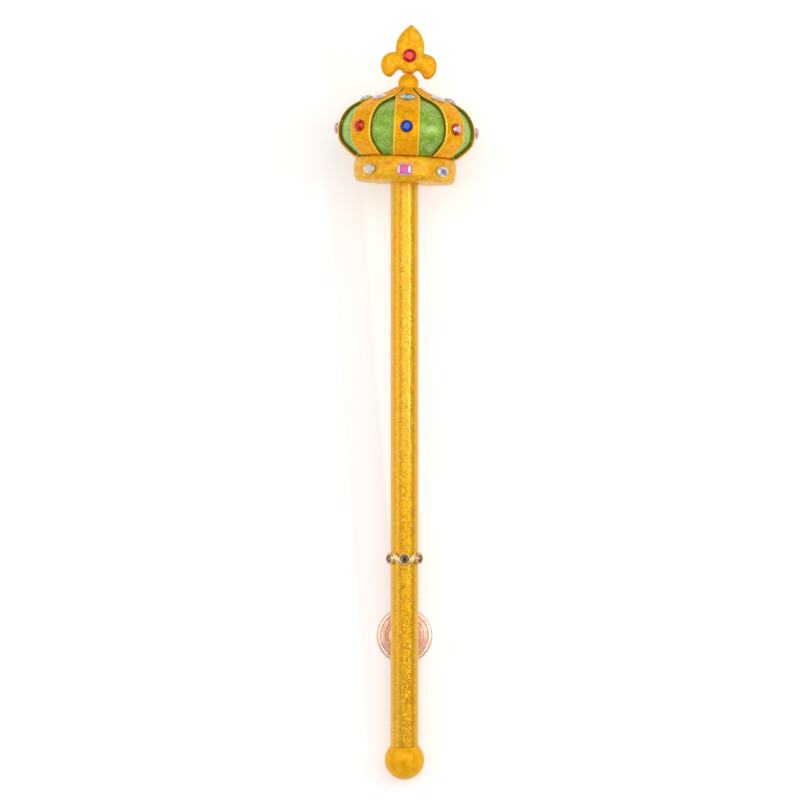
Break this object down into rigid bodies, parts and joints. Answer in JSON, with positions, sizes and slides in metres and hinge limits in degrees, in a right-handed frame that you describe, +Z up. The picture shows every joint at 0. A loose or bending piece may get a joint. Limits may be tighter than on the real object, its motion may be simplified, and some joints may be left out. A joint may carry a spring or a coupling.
{
  "type": "toy sceptre",
  "caption": "Toy royal sceptre: foil-covered round shaft with a ball at the butt, a jewelled grip ring and a rosette, and a closed glitter crown with arches, stones and a fleur-de-lis on top.",
  "frame": {"origin": "on the table that the sceptre lies on, in the middle of its footprint", "axes": "+Y along the sceptre from the ball at the butt to the fleur-de-lis, +Z up from the table, so that the front of the crown faces up, and +X to the right of the front"},
  "size_m": [0.1306, 0.6774, 0.1301],
  "materials": {
    "gold_foil": "holographic gold glitter foil",
    "painted_gold": "gold paint, satin",
    "glitter_gold": "gold glitter glued on moulded plastic",
    "glitter_green": "green glitter glued on moulded plastic",
    "pale_gold": "pale gold plating",
    "rose_gold": "polished rose gold plating",
    "red_stone": "faceted acrylic stone with a foil back",
    "blue_stone": "faceted acrylic stone with a foil back",
    "pink_stone": "faceted acrylic stone with a foil back",
    "aqua_stone": "faceted acrylic stone with a foil back",
    "clear_stone": "faceted acrylic stone with a foil back",
    "smoke_stone": "small faceted dark stone"
  },
  "bodies": {
    "root": {"shaft": "gold_foil", "pommel_ball": "painted_gold", "grip_ring": "pale_gold", "ring_stone_1": "smoke_stone", "ring_stone_2": "smoke_stone", "ring_stone_3": "smoke_stone", "ring_stone_4": "smoke_stone", "ring_stone_5": "smoke_stone", "ring_stone_6": "smoke_stone", "back_rosette": "rose_gold", "circlet": "glitter_gold", "dome": "glitter_green", "arch_1": "glitter_gold", "arch_2": "glitter_gold", "arch_3": "glitter_gold", "arch_4": "glitter_gold", "arch_5": "glitter_gold", "arch_6": "glitter_gold", "arch_7": "glitter_gold", "arch_8": "glitter_gold", "neck_ball": "glitter_gold", "arch_gem_1": "blue_stone", "arch_gem_2": "red_stone", "arch_gem_3": "pink_stone", "arch_gem_4": "red_stone", "arch_gem_5": "blue_stone", "arch_gem_6": "red_stone", "arch_gem_7": "pink_stone", "arch_gem_8": "red_stone", "shoulder_gem_1": "aqua_stone", "shoulder_gem_2": "pink_stone", "shoulder_gem_3": "clear_stone", "shoulder_gem_4": "pink_stone", "shoulder_gem_5": "aqua_stone", "shoulder_gem_6": "pink_stone", "shoulder_gem_7": "clear_stone", "shoulder_gem_8": "pink_stone", "circlet_gem_1": "pink_stone", "circlet_gem_2": "clear_stone", "circlet_gem_3": "clear_stone", "circlet_gem_4": "pink_stone", "circlet_gem_5": "clear_stone", "circlet_gem_6": "clear_stone", "fleur_de_lis": "glitter_gold", "fleur_gem": "red_stone"}
  },
  "joints": []
}
